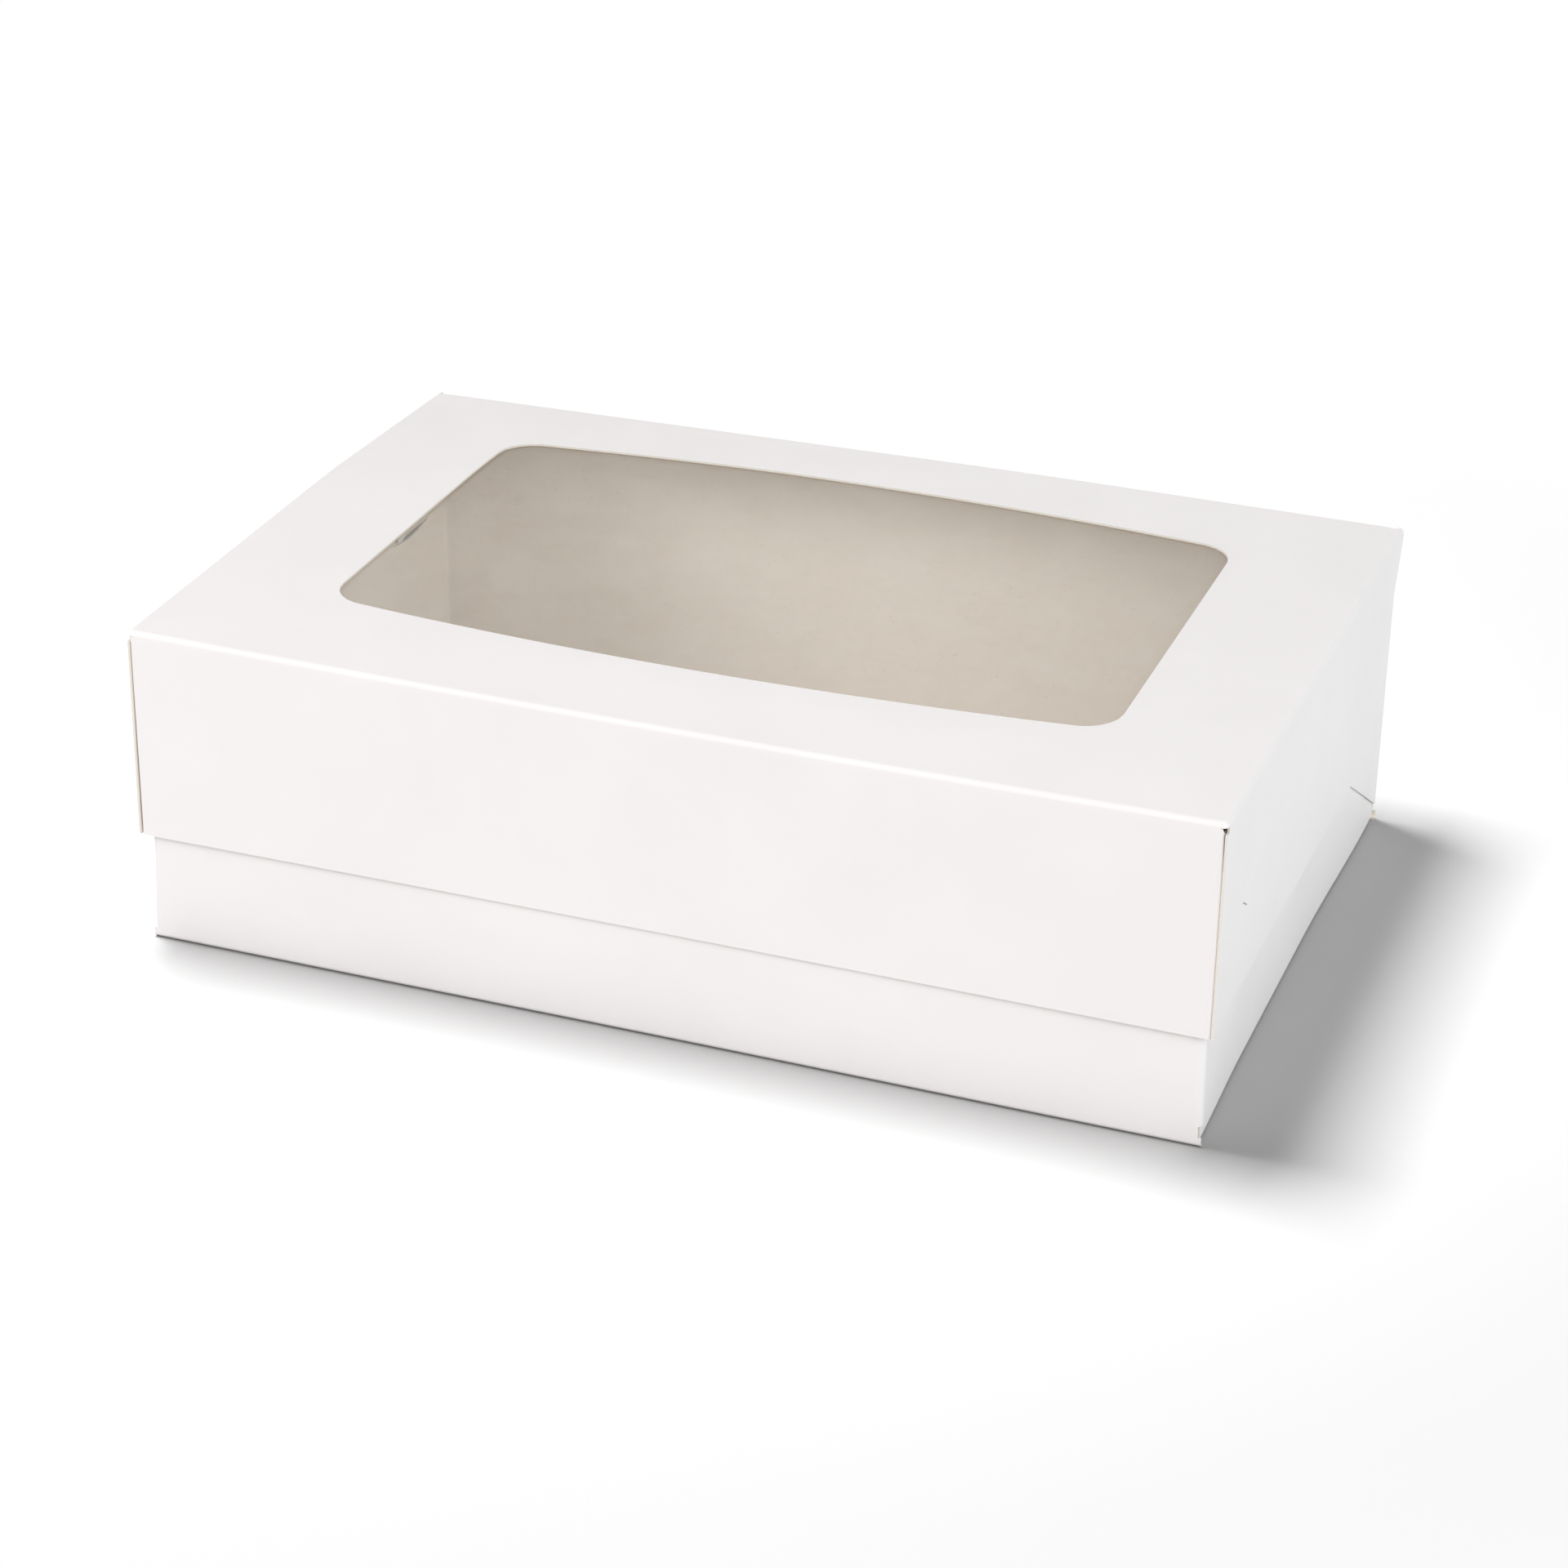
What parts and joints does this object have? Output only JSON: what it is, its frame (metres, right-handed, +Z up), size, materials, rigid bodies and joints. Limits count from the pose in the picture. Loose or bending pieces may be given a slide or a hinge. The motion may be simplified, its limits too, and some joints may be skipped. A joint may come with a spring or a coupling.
{
  "type": "cupcake box",
  "caption": "Folded carton bakery box with a hinged lid, a clear window in the lid, outer side skirts and locking corner ears.",
  "frame": {"origin": "centre of the closed box's footprint, on the surface that it stands on", "axes": "+X along the long front edge to the right, +Y from the front flap towards the hinge, +Z up"},
  "size_m": [0.24, 0.158, 0.074],
  "materials": {
    "board": "smooth white clay-coated carton outside, uncoated light brown inside, cream raw edges",
    "glue": "thin dried glue",
    "film": "clear thin film"
  },
  "bodies": {
    "tray": {"bottom_panel": "board", "front_wall": "board", "back_wall": "board", "left_wall": "board", "front_left_ear": "board", "back_left_ear": "board", "right_wall": "board", "front_right_ear": "board", "back_right_ear": "board"},
    "lid": {"lid_top_panel": "board", "lid_front_flap": "board", "lid_left_skirt": "board", "lid_left_ear": "board", "lid_right_skirt": "board", "lid_right_ear": "board", "window_glue_line": "glue", "window_film": "film"}
  },
  "joints": [
    {"name": "lid_hinge", "type": "hinge", "parent": "tray", "child": "lid", "pos_m": [0, 0.079, 0.074], "axis": [-1, 0, 0], "range_deg": [0, 205]}
  ]
}
